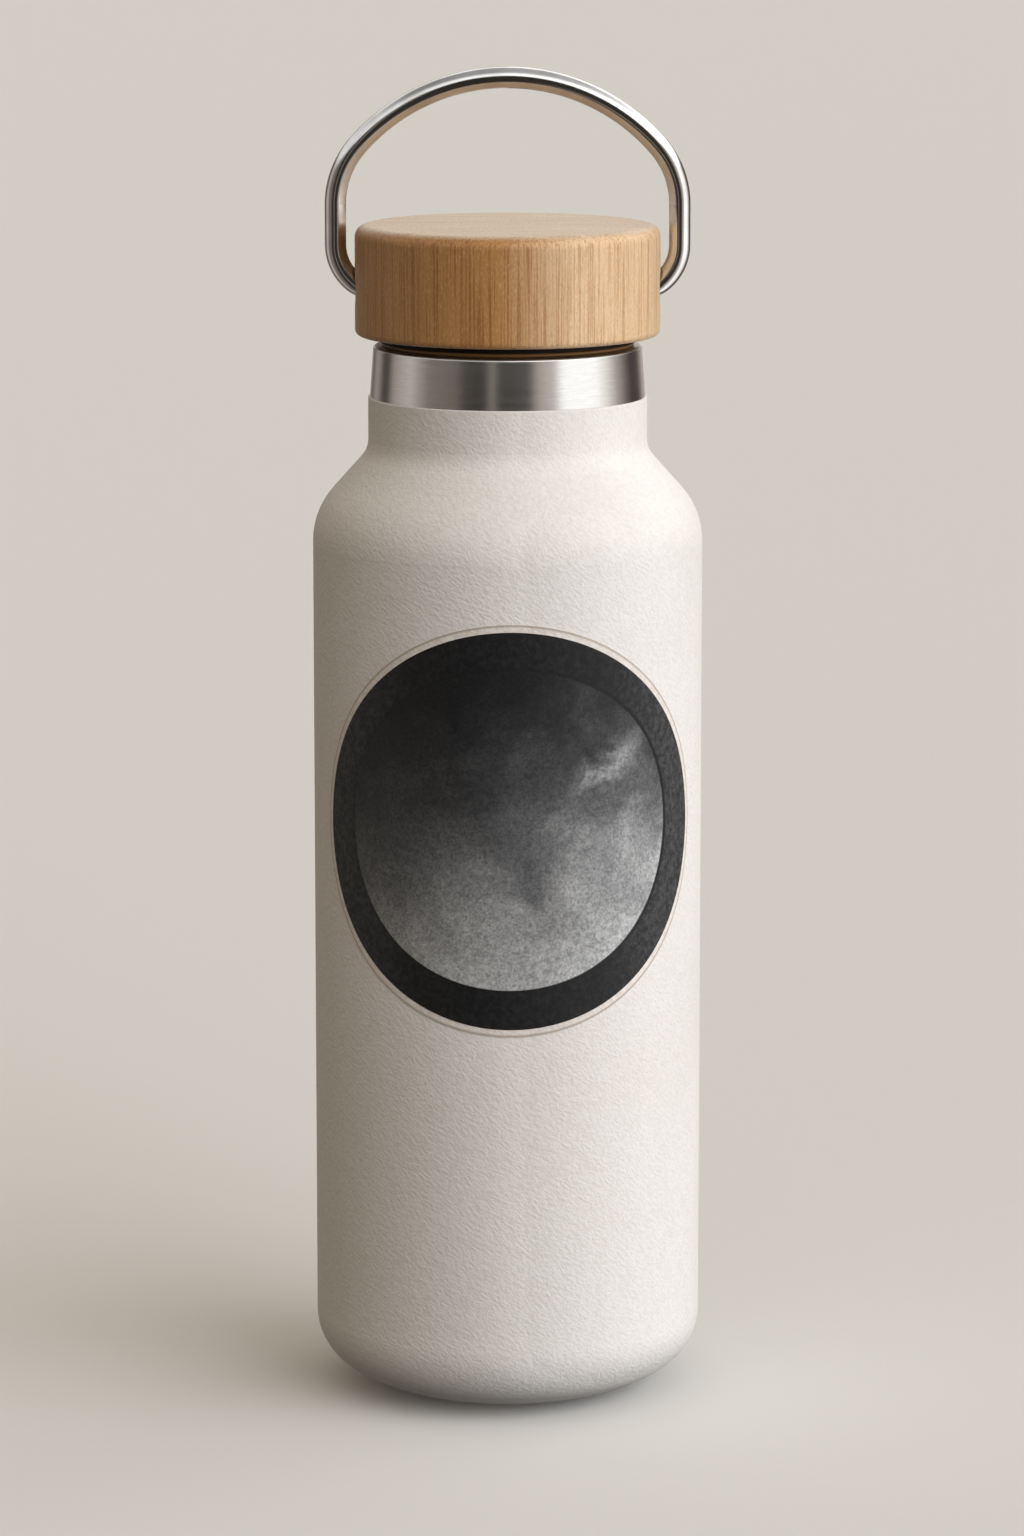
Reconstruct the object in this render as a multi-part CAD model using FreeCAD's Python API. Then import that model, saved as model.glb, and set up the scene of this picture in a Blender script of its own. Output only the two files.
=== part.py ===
import FreeCAD, Part
import math
import os

# Double-wall vacuum canteen with a screw-in bamboo lid and a swinging wire bail.
# Millimetres. The origin is the centre of the foot on the ground plane, +Z is up along the
# bottle's axis, the bail's pivot axis runs along X, and the label faces -Y.

# Driving dimensions of the coated outside surface
BODY_R = 36.5              # radius of the coated barrel
CORNER_R = 11.5            # upper, tighter arc of the rounded base corner
FOOT_ARC_R = 30.0          # lower, flatter arc of the rounded base corner
FOOT_ARC_ANGLE = 31.3      # degrees the lower arc turns before the upper one takes over
SHOULDER_Z = 162.2         # where the straight barrel ends
SHOULDER_CONVEX_R = 14.6
SHOULDER_SLOPE = 41.6      # slope of the shoulder's cone, in degrees from the axis
NECK_R = 26.06
NECK_Z = 181.4             # where the straight neck begins
NECK_FILLET_R = 5.05
COATING_TOP_Z = 189.4      # the coating stops here and bare steel goes on

# Walls, as distances inwards from the coated surface
COATING_T = 0.33
SHELL_OFFSET = 0.35
STEEL_T = 0.45
LINER_OFFSET = 3.3

# Lip and collar
LIP_Z = 198.9
LIP_R = 25.1
LIP_ROUND = 0.7            # outer edge of the lip, rolled inwards
LIP_BORE_ROUND = 0.3       # inner edge of the lip
COATING_EDGE_ROUND = 0.25

# Base
SHELL_SEAM_Z = 18.0        # weld between outer shell and outer base
LINER_SEAM_Z = 26.0        # weld between liner and its bottom cup
COATING_FOOT_R = 18.9      # the coating stops here under the base
FOOT_R = 18.0
FOOT_INNER_R = 16.6
RECESS_R = 15.5
RECESS_DEPTH = 1.8
DIMPLE_R = 3.0
DIMPLE_SLOPE = 1.2
EVACUATION_HOLE_R = 0.6
BASE_COVER_R = 15.1
BASE_COVER_T = 0.5
LINER_BOTTOM_Z = 8.0
LINER_CORNER_R = 14.0
LINER_DOME = 1.0           # the liner's bottom is dished up by this much
BOND_GAP = 0.05            # film of glue, or play between pieces that touch

# Pieces in the vacuum space
FOIL_T = 0.10
FOIL_BOTTOM_Z = 30.0
FOIL_TOP_Z = 156.0
GETTER_X = 9.0
GETTER_R = 3.5
GETTER_H = 1.8
CLIP_WIDTH = 3.0
CLIP_T = 0.4
CLIP_FOOT = 2.5
BEAD_R = 2.6
BEAD_DEPTH = 0.8

# Two-start screw thread between liner and plug
THREAD_PITCH = 4.0
THREAD_STARTS = 2
THREAD_LEAD = THREAD_PITCH * THREAD_STARTS
THREAD_BASE_W = 1.7        # width of a thread's root
THREAD_CREST_W = 0.9
THREAD_ROOT_SINK = 0.25    # how far a thread is buried in its wall
LINER_THREAD_H = 1.0
LINER_THREAD_Z = 184.6     # middle of the liner's thread where it starts
LINER_THREAD_RISE = 9.0
PLUG_THREAD_RISE = 10.0
PLUG_THREAD_CLEARANCE = 0.35
PLUG_CORE_CLEARANCE = 0.46
LINER_BORE_R = NECK_R - LINER_OFFSET - STEEL_T
PLUG_CORE_R = LINER_BORE_R - LINER_THREAD_H - PLUG_CORE_CLEARANCE

# Lid
CAP_R = 28.45
CAP_BOTTOM_Z = 200.85
CAP_TOP_Z = 221.35
CAP_TOP_ROUND = 2.3
CAP_BOTTOM_ROUND = 1.1
CAP_RECESS_TOP_Z = 214.5
BOSS_R = 24.0
GLUE_GAP = 0.1
PLUG_BOTTOM_Z = 180.0
PLUG_WALL = 2.2
BOSS_BOTTOM_Z = 205.0      # ceiling of the plug's cavity
FLANGE_BOTTOM_Z = 199.75
GASKET_R = 23.6
GASKET_PLAY = 0.03         # between gasket and lip
GASKET_CLEARANCE = 0.06    # between gasket and plug
DISC_R = 19.5
DISC_T = 0.5
SEAL_T = 0.75
SEAL_W = 0.8
FOAM_TOP_Z = 202.6
FOAM_CHAMFER = 1.0

# Bail and its pivots
ROD_R = 2.0
PIVOT_Z = 209.7
BAIL_LEG_X = 32.0
BAIL_BEND_R = 9.0          # bend between leg and cap
BAIL_TIGHT_R = 4.0         # tighter bend that ends level with the pivot axis
BAIL_TIGHT_ANGLE = 39.0
BAIL_SPRING_Z = 225.0      # where the legs end and the arch begins
BAIL_RISE = 23.5
BAIL_SHOULDER_R = 16.5
PIN_END_X = 18.6
PIN_CHAMFER = 0.4
BUSH_R = 3.2
BUSH_END_X = 18.0
BUSH_LENGTH = 5.7
BUSH_PLAY = 0.05
SOCKET_PLAY = 0.15         # play round the bail in the cap's flared holes

# Screws from the plug into the cap
SCREW_COUNT = 3
SCREW_CIRCLE_R = 12.0
SCREW_FIRST_ANGLE = 90.0
SCREW_SHANK_R = 1.45
SCREW_HOLE_R = 1.5
SCREW_HEAD_R = 2.8
SCREW_HEAD_H = 1.6
SCREW_TIP_Z = 218.4
SCREW_TIP_H = 1.6
SCREW_SLOT_W = 0.8
SCREW_SLOT_DEPTH = 0.8

# Label, a rounded outline measured along the barrel's surface
LABEL_ARC_HALF = 40.55     # half-width along the arc of the printed face
LABEL_HALF_H = 37.0
LABEL_LEAN = 0.027         # how much narrower it is near its top than near its bottom
LABEL_DRAW = 0.021         # how far the oval is drawn in between its four ends
LABEL_BORDER = 1.4
LABEL_ARC_CENTRE = 0.65
LABEL_CENTRE_Z = 113.2
LABEL_STEPS = 8            # steps of the curve through each quarter of the oval
VINYL_T = 0.10
PRINT_T = 0.06
FILM_GAP = 0.01

REACH = 100.0              # longer than any cut has to be
FULL_TURN = 360.0
SAME_POINT = 1e-7
ORIGIN = FreeCAD.Vector(0, 0, 0)
UP = FreeCAD.Vector(0, 0, 1)
ALONG_X = FreeCAD.Vector(1, 0, 0)


def radial(r, z):
    """A point of an outline that is turned about the Z axis."""
    return FreeCAD.Vector(r, 0, z)


def polar(centre, radius, degrees):
    """The point at an angle from +X towards +Z on a circle in the XZ plane."""
    angle = math.radians(degrees)
    return centre + FreeCAD.Vector(radius * math.cos(angle), 0, radius * math.sin(angle))


class Outline:
    """A closed outline in the XZ plane, drawn one segment at a time."""

    def __init__(self, start):
        self.start = start
        self.here = start
        self.edges = []

    def line(self, end):
        self.edges.append(Part.LineSegment(self.here, end).toShape())
        self.here = end

    def lines(self, points):
        for point in points:
            self.line(point)

    def arc(self, centre, end):
        """Add the shorter arc about a centre."""
        radius = (self.here - centre).Length
        towards = (self.here - centre) + (end - centre)
        middle = centre + towards.normalize().multiply(radius)
        self.edges.append(Part.Arc(self.here, middle, end).toShape())
        self.here = end

    def wire(self):
        if (self.here - self.start).Length > SAME_POINT:
            self.line(self.start)
        return Part.Wire(self.edges)

    def face(self):
        return Part.Face(self.wire())

    def turned(self, base=ORIGIN, axis=UP):
        return self.face().revolve(base, axis, FULL_TURN)


CORNER_CENTRE_STEP = (FOOT_ARC_R - CORNER_R) * math.sin(math.radians(FOOT_ARC_ANGLE))
FOOT_CENTRE = radial(BODY_R - CORNER_R - CORNER_CENTRE_STEP, FOOT_ARC_R)
CORNER_CENTRE = polar(FOOT_CENTRE, FOOT_ARC_R - CORNER_R, FOOT_ARC_ANGLE - 90)
SHOULDER_CENTRE = radial(BODY_R - SHOULDER_CONVEX_R, SHOULDER_Z)
FILLET_CENTRE = radial(NECK_R + NECK_FILLET_R, NECK_Z)


def on_foot_arc(r, offset):
    """The point at radius r on the base's lower arc, moved inwards by offset."""
    radius = FOOT_ARC_R - offset
    return radial(r, FOOT_CENTRE.z - math.sqrt(radius ** 2 - (r - FOOT_CENTRE.x) ** 2))


def base_corner_up(outline, offset):
    """Follow the base corner from the lower arc to the barrel."""
    outline.arc(FOOT_CENTRE, polar(FOOT_CENTRE, FOOT_ARC_R - offset, FOOT_ARC_ANGLE - 90))
    outline.arc(CORNER_CENTRE, radial(BODY_R - offset, CORNER_CENTRE.z))


def base_corner_down(outline, offset, end):
    """Follow the base corner from the barrel to an end point on the lower arc."""
    outline.line(radial(BODY_R - offset, CORNER_CENTRE.z))
    outline.arc(CORNER_CENTRE, polar(FOOT_CENTRE, FOOT_ARC_R - offset, FOOT_ARC_ANGLE - 90))
    outline.arc(FOOT_CENTRE, end)


def shoulder_up(outline, offset):
    """Follow the shoulder from the barrel to the straight neck."""
    outline.line(radial(BODY_R - offset, SHOULDER_Z))
    outline.arc(SHOULDER_CENTRE, polar(SHOULDER_CENTRE, SHOULDER_CONVEX_R - offset, SHOULDER_SLOPE))
    outline.line(polar(FILLET_CENTRE, NECK_FILLET_R + offset, 180 + SHOULDER_SLOPE))
    outline.arc(FILLET_CENTRE, radial(NECK_R - offset, NECK_Z))


def shoulder_down(outline, offset):
    """Follow the shoulder from the straight neck to the barrel."""
    outline.line(radial(NECK_R - offset, NECK_Z))
    outline.arc(FILLET_CENTRE, polar(FILLET_CENTRE, NECK_FILLET_R + offset, 180 + SHOULDER_SLOPE))
    outline.line(polar(SHOULDER_CENTRE, SHOULDER_CONVEX_R - offset, SHOULDER_SLOPE))
    outline.arc(SHOULDER_CENTRE, radial(BODY_R - offset, SHOULDER_Z))


def ring(inner_r, outer_r, bottom_z, top_z):
    """A plain ring about the Z axis, or a disc if the inner radius is 0."""
    outline = Outline(radial(inner_r, bottom_z))
    outline.lines([radial(outer_r, bottom_z), radial(outer_r, top_z), radial(inner_r, top_z)])
    return outline.turned()


def thread(wall_r, crest_r, start_z, rise):
    """All starts of a right-hand thread that stands on a wall and points at its crest."""
    inwards = math.copysign(1, wall_r - crest_r)
    root_r = wall_r + inwards * THREAD_ROOT_SINK
    profile = Outline(radial(root_r, start_z - THREAD_BASE_W / 2))
    profile.lines([radial(crest_r, start_z - THREAD_CREST_W / 2),
                   radial(crest_r, start_z + THREAD_CREST_W / 2),
                   radial(root_r, start_z + THREAD_BASE_W / 2)])
    helix = Part.makeHelix(THREAD_LEAD, rise, wall_r)
    helix.translate(FreeCAD.Vector(0, 0, start_z))
    first = Part.Wire(helix.Edges).makePipeShell([profile.wire()], True, True)
    starts = []
    for index in range(THREAD_STARTS):
        start = first.copy()
        start.rotate(ORIGIN, UP, index * FULL_TURN / THREAD_STARTS)
        starts.append(start)
    return starts


def textured_coating():
    """Powder coat from under the foot's edge to the bare collar."""
    outline = Outline(on_foot_arc(COATING_FOOT_R, 0))
    base_corner_up(outline, 0)
    shoulder_up(outline, 0)
    outline.line(radial(NECK_R, COATING_TOP_Z - COATING_EDGE_ROUND))
    outline.arc(radial(NECK_R - COATING_EDGE_ROUND, COATING_TOP_Z - COATING_EDGE_ROUND),
                radial(NECK_R - COATING_EDGE_ROUND, COATING_TOP_Z))
    outline.line(radial(NECK_R - COATING_T, COATING_TOP_Z))
    shoulder_down(outline, COATING_T)
    base_corner_down(outline, COATING_T, on_foot_arc(COATING_FOOT_R, COATING_T))
    return outline.turned()


def outer_shell():
    """Drawn steel tube: shoulder, neck, bare tapered collar and the lip rolled inwards on top."""
    inner_offset = SHELL_OFFSET + STEEL_T
    lip_centre = radial(LIP_R - LIP_ROUND, LIP_Z - LIP_ROUND)
    seam_r = LINER_BORE_R + STEEL_T
    outline = Outline(radial(BODY_R - SHELL_OFFSET, SHELL_SEAM_Z))
    shoulder_up(outline, SHELL_OFFSET)
    outline.lines([radial(NECK_R - SHELL_OFFSET, COATING_TOP_Z), radial(LIP_R, lip_centre.z)])
    outline.arc(lip_centre, radial(lip_centre.x, LIP_Z))
    outline.lines([radial(seam_r, LIP_Z),
                   radial(seam_r, LIP_Z - STEEL_T),
                   radial(lip_centre.x, LIP_Z - STEEL_T)])
    outline.arc(lip_centre, radial(LIP_R - STEEL_T, lip_centre.z))
    outline.line(radial(NECK_R - inner_offset, COATING_TOP_Z))
    shoulder_down(outline, inner_offset)
    outline.line(radial(BODY_R - inner_offset, SHELL_SEAM_Z))
    return outline.turned()


def outer_base():
    """Pressed steel cup with rounded corner, foot ring, recessed panel and evacuation dimple."""
    inner_offset = SHELL_OFFSET + STEEL_T
    dimple_z = RECESS_DEPTH + DIMPLE_SLOPE
    outline = Outline(radial(EVACUATION_HOLE_R, dimple_z))
    outline.lines([radial(DIMPLE_R, dimple_z),
                   radial(DIMPLE_R + DIMPLE_SLOPE, RECESS_DEPTH),
                   radial(RECESS_R, RECESS_DEPTH),
                   radial(FOOT_INNER_R, 0),
                   radial(FOOT_R, 0),
                   on_foot_arc(COATING_FOOT_R, SHELL_OFFSET)])
    base_corner_up(outline, SHELL_OFFSET)
    outline.lines([radial(BODY_R - SHELL_OFFSET, SHELL_SEAM_Z),
                   radial(BODY_R - inner_offset, SHELL_SEAM_Z)])
    base_corner_down(outline, inner_offset, on_foot_arc(COATING_FOOT_R, inner_offset))
    outline.lines([radial(FOOT_R, STEEL_T),
                   radial(FOOT_INNER_R + STEEL_T / 2, STEEL_T),
                   radial(RECESS_R + STEEL_T / 2, RECESS_DEPTH + STEEL_T),
                   radial(DIMPLE_R + DIMPLE_SLOPE + STEEL_T / 2, RECESS_DEPTH + STEEL_T),
                   radial(DIMPLE_R + STEEL_T / 2, dimple_z + STEEL_T),
                   radial(EVACUATION_HOLE_R, dimple_z + STEEL_T)])
    return outline.turned()


def base_cover():
    """Thin steel disc in the base's recess."""
    top_z = RECESS_DEPTH - BOND_GAP
    return ring(0, BASE_COVER_R, top_z - BASE_COVER_T, top_z)


def inner_vessel():
    """Steel liner, welded to the lip at its top, with the internal thread in its neck."""
    inner_offset = LINER_OFFSET + STEEL_T
    edge_centre = radial(LINER_BORE_R + LIP_BORE_ROUND, LIP_Z - LIP_BORE_ROUND)
    outline = Outline(radial(BODY_R - LINER_OFFSET, LINER_SEAM_Z))
    shoulder_up(outline, LINER_OFFSET)
    outline.lines([radial(NECK_R - LINER_OFFSET, LIP_Z), radial(edge_centre.x, LIP_Z)])
    outline.arc(edge_centre, radial(LINER_BORE_R, edge_centre.z))
    shoulder_down(outline, inner_offset)
    outline.line(radial(BODY_R - inner_offset, LINER_SEAM_Z))
    starts = thread(LINER_BORE_R, LINER_BORE_R - LINER_THREAD_H, LINER_THREAD_Z, LINER_THREAD_RISE)
    return outline.turned().multiFuse(starts)


def inner_bottom():
    """Pressed steel cup that closes the liner, dished upwards in the middle."""
    outer_r = BODY_R - LINER_OFFSET
    corner_centre = radial(outer_r - LINER_CORNER_R, LINER_BOTTOM_Z + LINER_CORNER_R)
    dome_r = (corner_centre.x ** 2 + LINER_DOME ** 2) / (2 * LINER_DOME)
    dome_centre = radial(0, LINER_BOTTOM_Z + LINER_DOME - dome_r)
    outline = Outline(radial(0, LINER_BOTTOM_Z + LINER_DOME))
    outline.arc(dome_centre, radial(corner_centre.x, LINER_BOTTOM_Z))
    outline.arc(corner_centre, radial(outer_r, corner_centre.z))
    outline.lines([radial(outer_r, LINER_SEAM_Z),
                   radial(outer_r - STEEL_T, LINER_SEAM_Z),
                   radial(outer_r - STEEL_T, corner_centre.z)])
    outline.arc(corner_centre, radial(corner_centre.x, LINER_BOTTOM_Z + STEEL_T))
    outline.arc(dome_centre + FreeCAD.Vector(0, 0, STEEL_T),
                radial(0, LINER_BOTTOM_Z + LINER_DOME + STEEL_T))
    return outline.turned()


def heat_shield_foil():
    """Foil wrapped round the straight part of the liner."""
    inner_r = BODY_R - LINER_OFFSET + BOND_GAP
    return ring(inner_r, inner_r + FOIL_T, FOIL_BOTTOM_Z, FOIL_TOP_Z)


def getter_pellet():
    """Round pellet on the base's panel, in the vacuum."""
    pellet = ring(0, GETTER_R, 0, GETTER_H)
    pellet.translate(FreeCAD.Vector(GETTER_X, 0, RECESS_DEPTH + STEEL_T + BOND_GAP))
    return pellet


def getter_clip():
    """Strap bent over the pellet and welded to the panel by its two feet."""
    floor_z = RECESS_DEPTH + STEEL_T
    inside_z = floor_z + GETTER_H + 2 * BOND_GAP
    half_inside = GETTER_R + BOND_GAP
    half_outside = half_inside + CLIP_T
    half_length = half_outside + CLIP_FOOT
    outline = Outline(radial(-half_length, floor_z))
    outline.lines([radial(-half_inside, floor_z), radial(-half_inside, inside_z),
                   radial(half_inside, inside_z), radial(half_inside, floor_z),
                   radial(half_length, floor_z), radial(half_length, floor_z + CLIP_T),
                   radial(half_outside, floor_z + CLIP_T), radial(half_outside, inside_z + CLIP_T),
                   radial(-half_outside, inside_z + CLIP_T), radial(-half_outside, floor_z + CLIP_T),
                   radial(-half_length, floor_z + CLIP_T)])
    clip = outline.face().extrude(FreeCAD.Vector(0, CLIP_WIDTH, 0))
    clip.translate(FreeCAD.Vector(0, -CLIP_WIDTH / 2, 0))
    clip.rotate(ORIGIN, UP, 90)
    clip.translate(FreeCAD.Vector(GETTER_X, 0, 0))
    return clip


def vacuum_seal_bead():
    """Glass bead under the evacuation hole, round below and flat against the dimple."""
    top_z = RECESS_DEPTH + DIMPLE_SLOPE - BOND_GAP
    bead_r = (BEAD_R ** 2 + BEAD_DEPTH ** 2) / (2 * BEAD_DEPTH)
    outline = Outline(radial(0, top_z - BEAD_DEPTH))
    outline.arc(radial(0, top_z - BEAD_DEPTH + bead_r), radial(BEAD_R, top_z))
    outline.line(radial(0, top_z))
    return outline.turned()


def oval_point(inner_r, arc_half, half_height, turn):
    """A point of the label's outline at an angle round it, seen along Y.

    The direction given with it is the outline's own at the ends of the four quarters.
    """
    drawn = 1 - LABEL_DRAW * math.sin(2 * turn) ** 2
    leaning = 1 - LABEL_LEAN * math.sin(turn)
    angle = (LABEL_ARC_CENTRE + drawn * leaning * arc_half * math.cos(turn)) / BODY_R
    place = radial(inner_r * math.sin(angle),
                   LABEL_CENTRE_Z + drawn * half_height * math.sin(turn))
    turning = -leaning * math.sin(turn) - LABEL_LEAN * math.cos(turn) ** 2
    direction = radial(inner_r * math.cos(angle) * arc_half / BODY_R * turning,
                       half_height * math.cos(turn))
    return place, direction.normalize()


def label_film(inner_r, thickness, arc_half, half_height):
    """A film that lies on the barrel, with its half-width measured along the arc."""
    quarters = []
    for quarter in range(4):
        turns = [math.pi / 2 * (quarter + step / LABEL_STEPS) for step in range(LABEL_STEPS + 1)]
        samples = [oval_point(inner_r, arc_half, half_height, turn) for turn in turns]
        curve = Part.BSplineCurve()
        curve.interpolate([place for place, direction in samples], Scale=False,
                          InitialTangent=samples[0][1], FinalTangent=samples[-1][1])
        quarters.append(curve.toShape())
    cutter = Part.Face(Part.Wire(quarters)).extrude(FreeCAD.Vector(0, -REACH, 0))
    tube = ring(inner_r, inner_r + thickness, LABEL_CENTRE_Z - REACH / 2, LABEL_CENTRE_Z + REACH / 2)
    return tube.common(cutter)


def label_vinyl():
    """Die-cut film with the pale border."""
    return label_film(BODY_R + FILM_GAP, VINYL_T,
                      LABEL_ARC_HALF + LABEL_BORDER, LABEL_HALF_H + LABEL_BORDER)


def label_print():
    """Printed face inside the border."""
    return label_film(BODY_R + VINYL_T + 2 * FILM_GAP, PRINT_T, LABEL_ARC_HALF, LABEL_HALF_H)


def bail_bends():
    """Where the bail turns beside the cap on +X: end of the level pin, and the two bends' centres."""
    angle = math.radians(BAIL_TIGHT_ANGLE)
    pin_x = BAIL_LEG_X - BAIL_BEND_R + (BAIL_BEND_R - BAIL_TIGHT_R) * math.sin(angle)
    pin_end = radial(pin_x, PIVOT_Z)
    tight_centre = radial(pin_x, PIVOT_Z + BAIL_TIGHT_R)
    bend_centre = polar(tight_centre, BAIL_BEND_R - BAIL_TIGHT_R, 90 + BAIL_TIGHT_ANGLE)
    return pin_end, tight_centre, bend_centre


def bail_handle():
    """Bent round rod: pins, lower bends, legs and a three-centred arch."""
    pin_end, tight_centre, bend_centre = bail_bends()
    shoulder_centre = radial(BAIL_LEG_X - BAIL_SHOULDER_R, BAIL_SPRING_Z)
    crown_r = (shoulder_centre.x ** 2 + BAIL_RISE ** 2 - BAIL_SHOULDER_R ** 2) / 2
    crown_r = crown_r / (BAIL_RISE - BAIL_SHOULDER_R)
    crown_centre = radial(0, BAIL_SPRING_Z + BAIL_RISE - crown_r)
    shoulder_angle = math.degrees(math.atan2(shoulder_centre.z - crown_centre.z, shoulder_centre.x))
    half = Outline(radial(PIN_END_X, PIVOT_Z))
    half.line(pin_end)
    half.arc(tight_centre, polar(tight_centre, BAIL_TIGHT_R, BAIL_TIGHT_ANGLE - 90))
    half.arc(bend_centre, radial(BAIL_LEG_X, bend_centre.z))
    half.line(radial(BAIL_LEG_X, BAIL_SPRING_Z))
    half.arc(shoulder_centre, polar(shoulder_centre, BAIL_SHOULDER_R, shoulder_angle))
    half.arc(crown_centre, polar(crown_centre, crown_r, 90))
    right = Part.Wire(half.edges)
    pin_start = radial(PIN_END_X, PIVOT_Z)
    section = Part.Wire(Part.makeCircle(ROD_R, pin_start, ALONG_X))
    rod = right.makePipeShell([section], True, False)
    pin_face = min(rod.Faces, key=lambda face: (face.CenterOfMass - pin_start).Length)
    rod = rod.makeChamfer(PIN_CHAMFER, pin_face.Edges)
    mirrored = rod.mirror(ORIGIN, ALONG_X)
    return rod.fuse(mirrored).removeSplitter()


def flared_socket(side):
    """The space for the bail's end in the cap, as wide as the bend sweeps when the bail swings."""
    pin_end, tight_centre, bend_centre = bail_bends()
    tight_r = BAIL_TIGHT_R - ROD_R - SOCKET_PLAY
    bend_r = BAIL_BEND_R - ROD_R - SOCKET_PLAY
    inner_x = BUSH_END_X + BUSH_LENGTH
    outline = Outline(radial(inner_x, PIVOT_Z))
    outline.lines([radial(inner_x, PIVOT_Z + ROD_R + SOCKET_PLAY),
                   radial(pin_end.x, PIVOT_Z + ROD_R + SOCKET_PLAY)])
    outline.arc(tight_centre, polar(tight_centre, tight_r, BAIL_TIGHT_ANGLE - 90))
    outline.arc(bend_centre, polar(bend_centre, bend_r, -BAIL_TIGHT_ANGLE / 2))
    outline.line(radial(outline.here.x, PIVOT_Z))
    space = outline.turned(radial(0, PIVOT_Z), ALONG_X)
    if side < 0:
        return space.mirror(ORIGIN, ALONG_X)
    return space


def screw_places():
    """Where the screws stand, as offsets from the axis."""
    places = []
    for index in range(SCREW_COUNT):
        angle = math.radians(SCREW_FIRST_ANGLE + index * FULL_TURN / SCREW_COUNT)
        places.append(FreeCAD.Vector(SCREW_CIRCLE_R * math.cos(angle), SCREW_CIRCLE_R * math.sin(angle), 0))
    return places


def screw_holes():
    """Clearance holes through the plug's boss that go on as pilot holes in the cap."""
    holes = []
    for place in screw_places():
        hole = ring(0, SCREW_HOLE_R, BOSS_BOTTOM_Z - BOND_GAP, SCREW_TIP_Z + BOND_GAP)
        hole.translate(place)
        holes.append(hole)
    return holes


def bamboo_cap():
    """Turned bamboo cap with rounded edges, blind recess, two flared holes and pilot holes."""
    recess_r = BOSS_R + GLUE_GAP
    outline = Outline(radial(recess_r, CAP_BOTTOM_Z))
    outline.line(radial(CAP_R - CAP_BOTTOM_ROUND, CAP_BOTTOM_Z))
    outline.arc(radial(CAP_R - CAP_BOTTOM_ROUND, CAP_BOTTOM_Z + CAP_BOTTOM_ROUND),
                radial(CAP_R, CAP_BOTTOM_Z + CAP_BOTTOM_ROUND))
    outline.line(radial(CAP_R, CAP_TOP_Z - CAP_TOP_ROUND))
    outline.arc(radial(CAP_R - CAP_TOP_ROUND, CAP_TOP_Z - CAP_TOP_ROUND),
                radial(CAP_R - CAP_TOP_ROUND, CAP_TOP_Z))
    outline.lines([radial(0, CAP_TOP_Z), radial(0, CAP_RECESS_TOP_Z), radial(recess_r, CAP_RECESS_TOP_Z)])
    cap = outline.turned()
    for tool in [flared_socket(1), flared_socket(-1)] + screw_holes():
        cap = cap.cut(tool)
    return cap


def lid_plug():
    """Moulded plug: boss in the cap, flange over the gasket, threaded core with an open cavity."""
    cavity_r = PLUG_CORE_R - PLUG_WALL
    rebate_r = DISC_R + GLUE_GAP
    rebate_top = PLUG_BOTTOM_Z + DISC_T + SEAL_T + 3 * BOND_GAP
    outline = Outline(radial(rebate_r, PLUG_BOTTOM_Z))
    outline.lines([radial(PLUG_CORE_R, PLUG_BOTTOM_Z),
                   radial(PLUG_CORE_R, FLANGE_BOTTOM_Z),
                   radial(BOSS_R, FLANGE_BOTTOM_Z),
                   radial(BOSS_R, CAP_RECESS_TOP_Z - GLUE_GAP),
                   radial(0, CAP_RECESS_TOP_Z - GLUE_GAP),
                   radial(0, BOSS_BOTTOM_Z),
                   radial(cavity_r, BOSS_BOTTOM_Z),
                   radial(cavity_r, rebate_top),
                   radial(rebate_r, rebate_top)])
    starts = thread(PLUG_CORE_R, LINER_BORE_R - PLUG_THREAD_CLEARANCE,
                    LINER_THREAD_Z - THREAD_PITCH / 2, PLUG_THREAD_RISE)
    plug = outline.turned().multiFuse(starts)
    for side in (-1, 1):
        start = radial(side * (BUSH_END_X - BOND_GAP), PIVOT_Z)
        hole = Part.makeCylinder(BUSH_R + BOND_GAP / 2, REACH, start, FreeCAD.Vector(side, 0, 0))
        plug = plug.cut(hole)
    for hole in screw_holes():
        plug = plug.cut(hole)
    return plug


def pivot_bush(side):
    """Nylon sleeve in the plug's boss that the bail's pin turns in."""
    start = radial(side * BUSH_END_X, PIVOT_Z)
    along = FreeCAD.Vector(side, 0, 0)
    sleeve = Part.makeCylinder(BUSH_R, BUSH_LENGTH, start, along)
    bore = Part.makeCylinder(ROD_R + BUSH_PLAY, BUSH_LENGTH, start, along)
    return sleeve.cut(bore)


def plug_insulation():
    """Foam puck that fills the plug's cavity."""
    foam_r = PLUG_CORE_R - PLUG_WALL - GLUE_GAP
    bottom_z = PLUG_BOTTOM_Z + DISC_T + SEAL_T + 3 * BOND_GAP
    outline = Outline(radial(0, bottom_z))
    outline.lines([radial(foam_r, bottom_z),
                   radial(foam_r, FOAM_TOP_Z - FOAM_CHAMFER),
                   radial(foam_r - FOAM_CHAMFER, FOAM_TOP_Z),
                   radial(0, FOAM_TOP_Z)])
    return outline.turned()


def plug_bottom_disc():
    """Steel disc let into the plug's lower end."""
    return ring(0, DISC_R, PLUG_BOTTOM_Z + BOND_GAP, PLUG_BOTTOM_Z + BOND_GAP + DISC_T)


def disc_seal():
    """Silicone ring between the steel disc and the plug."""
    bottom_z = PLUG_BOTTOM_Z + DISC_T + 2 * BOND_GAP
    return ring(DISC_R - SEAL_W, DISC_R, bottom_z, bottom_z + SEAL_T)


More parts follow.
